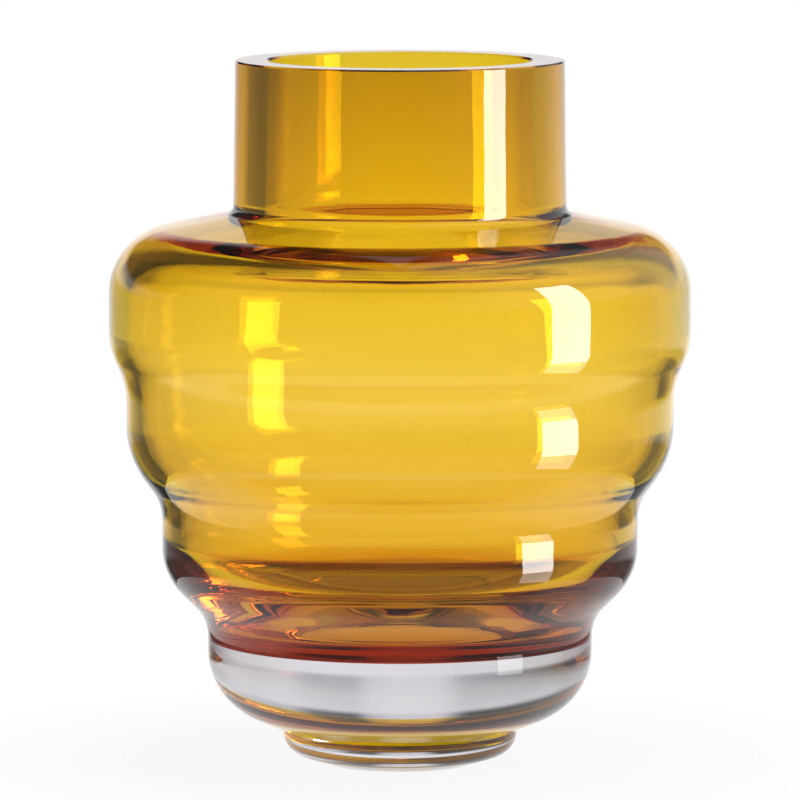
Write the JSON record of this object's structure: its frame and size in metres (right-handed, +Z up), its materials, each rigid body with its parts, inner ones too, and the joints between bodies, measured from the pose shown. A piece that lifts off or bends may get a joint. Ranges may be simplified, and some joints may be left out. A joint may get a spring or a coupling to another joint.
{
  "type": "blown glass vase",
  "caption": "Heavy amber glass vase with a straight thick-walled neck, a round shoulder and stepped rings, on a solid clear crystal base and small foot.",
  "frame": {"origin": "middle of the flat face under the foot, which the vase rests on", "axes": "+Z up, along the axis that the whole vase is turned about; X and Y are alike"},
  "size_m": [0.2064, 0.2064, 0.25],
  "materials": {
    "amber_glass": "blown and fire polished, transparent amber, rim ground flat and polished",
    "crystal_glass": "clear crystal, polished",
    "foot_glass": "clear crystal, polished, with a flat ground face underneath"
  },
  "bodies": {
    "root": {"amber_vessel": "amber_glass", "crystal_base": "crystal_glass", "crystal_foot": "foot_glass"}
  },
  "joints": []
}
